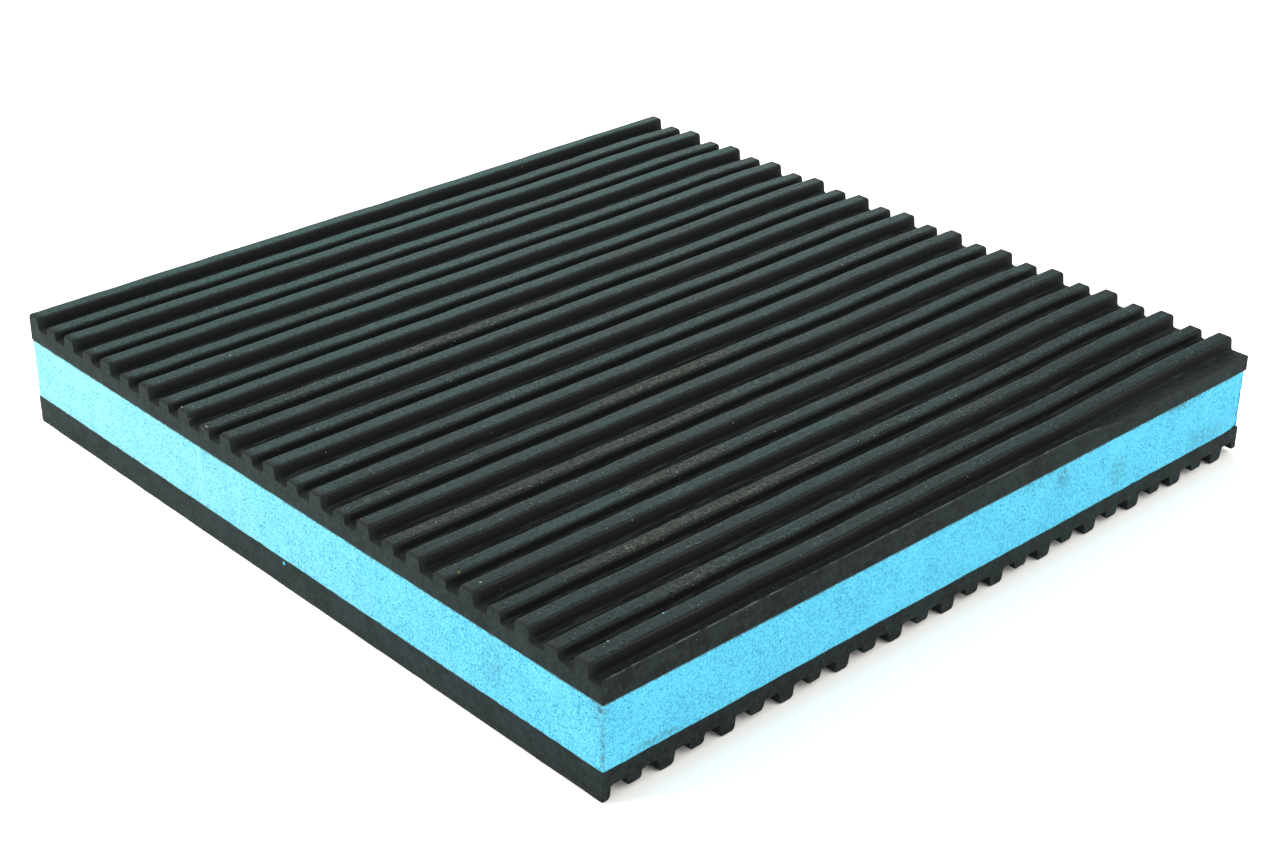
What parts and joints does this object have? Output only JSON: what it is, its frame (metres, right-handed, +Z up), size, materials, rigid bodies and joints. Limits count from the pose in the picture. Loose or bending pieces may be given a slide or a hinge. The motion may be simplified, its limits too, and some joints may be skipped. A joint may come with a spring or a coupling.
{
  "type": "anti vibration machine pad",
  "caption": "Square anti-vibration pad: a thick blue foam core bonded between two black ribbed rubber sheets whose ribs cross, laid under machine feet to damp shake and noise.",
  "frame": {"origin": "middle of the underside, in the plane that the tall ribs of the lower sheet rest on", "axes": "+Z up through the thickness; the upper ribs run along X and the lower ribs along Y"},
  "size_m": [0.1524, 0.1524, 0.0216],
  "materials": {
    "ribbed_rubber": "dull moulded rubber with knife-cut edges",
    "blue_foam": "matte closed-cell foam with knife-cut edges"
  },
  "bodies": {
    "root": {"upper_rubber_sheet": "ribbed_rubber", "foam_core": "blue_foam", "lower_rubber_sheet": "ribbed_rubber"}
  },
  "joints": []
}
